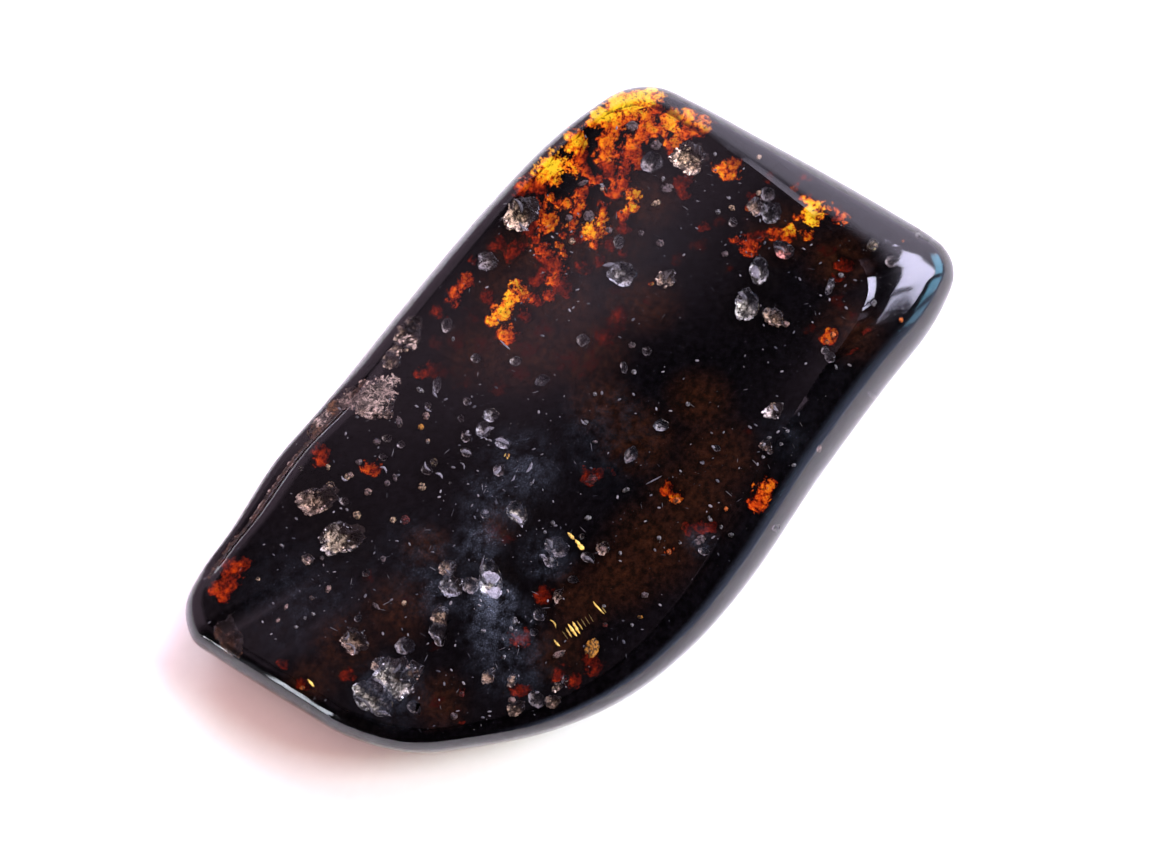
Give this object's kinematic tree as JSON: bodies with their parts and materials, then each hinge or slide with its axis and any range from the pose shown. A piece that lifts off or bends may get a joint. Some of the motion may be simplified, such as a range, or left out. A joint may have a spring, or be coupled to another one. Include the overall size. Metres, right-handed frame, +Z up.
{
  "type": "polished amber stone",
  "caption": "Flat freeform pebble of dark polished amber, rounded at its edges, with open crumbly pits and clear golden windows, resting on a small flat spot.",
  "frame": {"origin": "on the surface that the stone rests on, under the middle of its bounding box", "axes": "+X along the stone's length towards its broad end, +Y across it towards the side with the crust ledge, +Z up out of the polished face"},
  "size_m": [0.0616, 0.0354, 0.0085],
  "materials": {
    "amber": "polished, near black with golden clear spots"
  },
  "bodies": {
    "root": {"amber_stone": "amber"}
  },
  "joints": []
}
